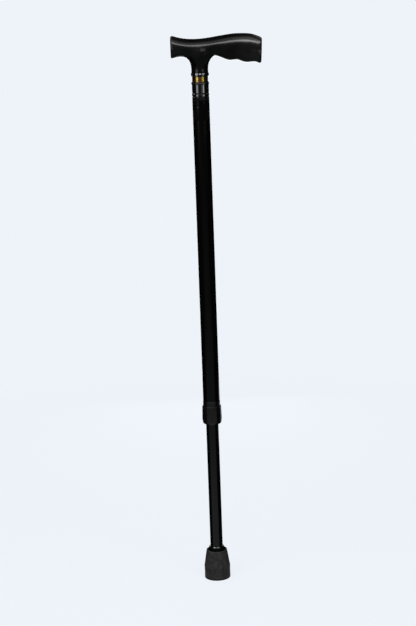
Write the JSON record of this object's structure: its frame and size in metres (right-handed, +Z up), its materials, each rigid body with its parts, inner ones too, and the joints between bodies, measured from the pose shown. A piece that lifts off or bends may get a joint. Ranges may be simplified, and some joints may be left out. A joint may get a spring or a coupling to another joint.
{
  "type": "adjustable walking cane",
  "caption": "Walking cane with a moulded T handle, a telescopic metal shaft set by a sprung button in a row of holes, a collet lock nut and a flared rubber tip.",
  "frame": {"origin": "centre of the rubber tip's sole, on the ground", "axes": "+Z up the shaft to the handle, +X along the handle's long grip, -X along its short nose, +Y to the side with the row of adjusting holes"},
  "size_m": [0.1347, 0.0402, 0.8461],
  "materials": {
    "black_grip_plastic": "satin black moulded plastic",
    "gloss_black_plastic": "high gloss black",
    "black_nut_plastic": "satin black moulded plastic",
    "black_anodised_tube": "satin black anodised",
    "polished_gold_brass": "polished gold",
    "black_rubber": "matt black moulded rubber",
    "bright_steel": "bright zinc plated",
    "white_nylon": "natural white nylon"
  },
  "bodies": {
    "upper": {"upper_tube": "black_anodised_tube", "handle": "black_grip_plastic", "handle_stud": "bright_steel", "collar_top_ring": "gloss_black_plastic", "gold_band": "polished_gold_brass", "collar_sleeve": "gloss_black_plastic", "stud_washer": "bright_steel", "stud_nut": "bright_steel", "collar_rivet": "gloss_black_plastic", "threaded_bush": "black_nut_plastic"},
    "lower": {"lower_tube": "black_anodised_tube", "guide_bush": "white_nylon", "button_spring": "bright_steel", "tip_washer": "bright_steel", "rubber_tip": "black_rubber"},
    "button": {"snap_button": "bright_steel"},
    "collet": {"split_collet": "white_nylon"},
    "nut": {"lock_nut": "black_nut_plastic"}
  },
  "joints": [
    {"name": "height", "type": "slide", "parent": "upper", "child": "lower", "axis": [0, 0, -1], "range_m": [-0.0762, 0.0762]},
    {"name": "button_press", "type": "slide", "parent": "lower", "child": "button", "axis": [0, -1, 0], "range_m": [0, 0.004], "stiffness_N_per_m": 3000, "springref_m": -0.002, "deforming": ["button_spring"]},
    {"name": "collet_slide", "type": "slide", "parent": "upper", "child": "collet", "axis": [0, 0, -1], "range_m": [0, 0.003]},
    {"name": "nut_turn", "type": "hinge", "parent": "collet", "child": "nut", "pos_m": [0, 0, 0.2653], "axis": [0, 0, -1], "range_deg": [0, 540]}
  ],
  "couplings": [
    {"joint": "collet_slide", "follows": "nut_turn", "m_per_rad": 0.00031831}
  ]
}
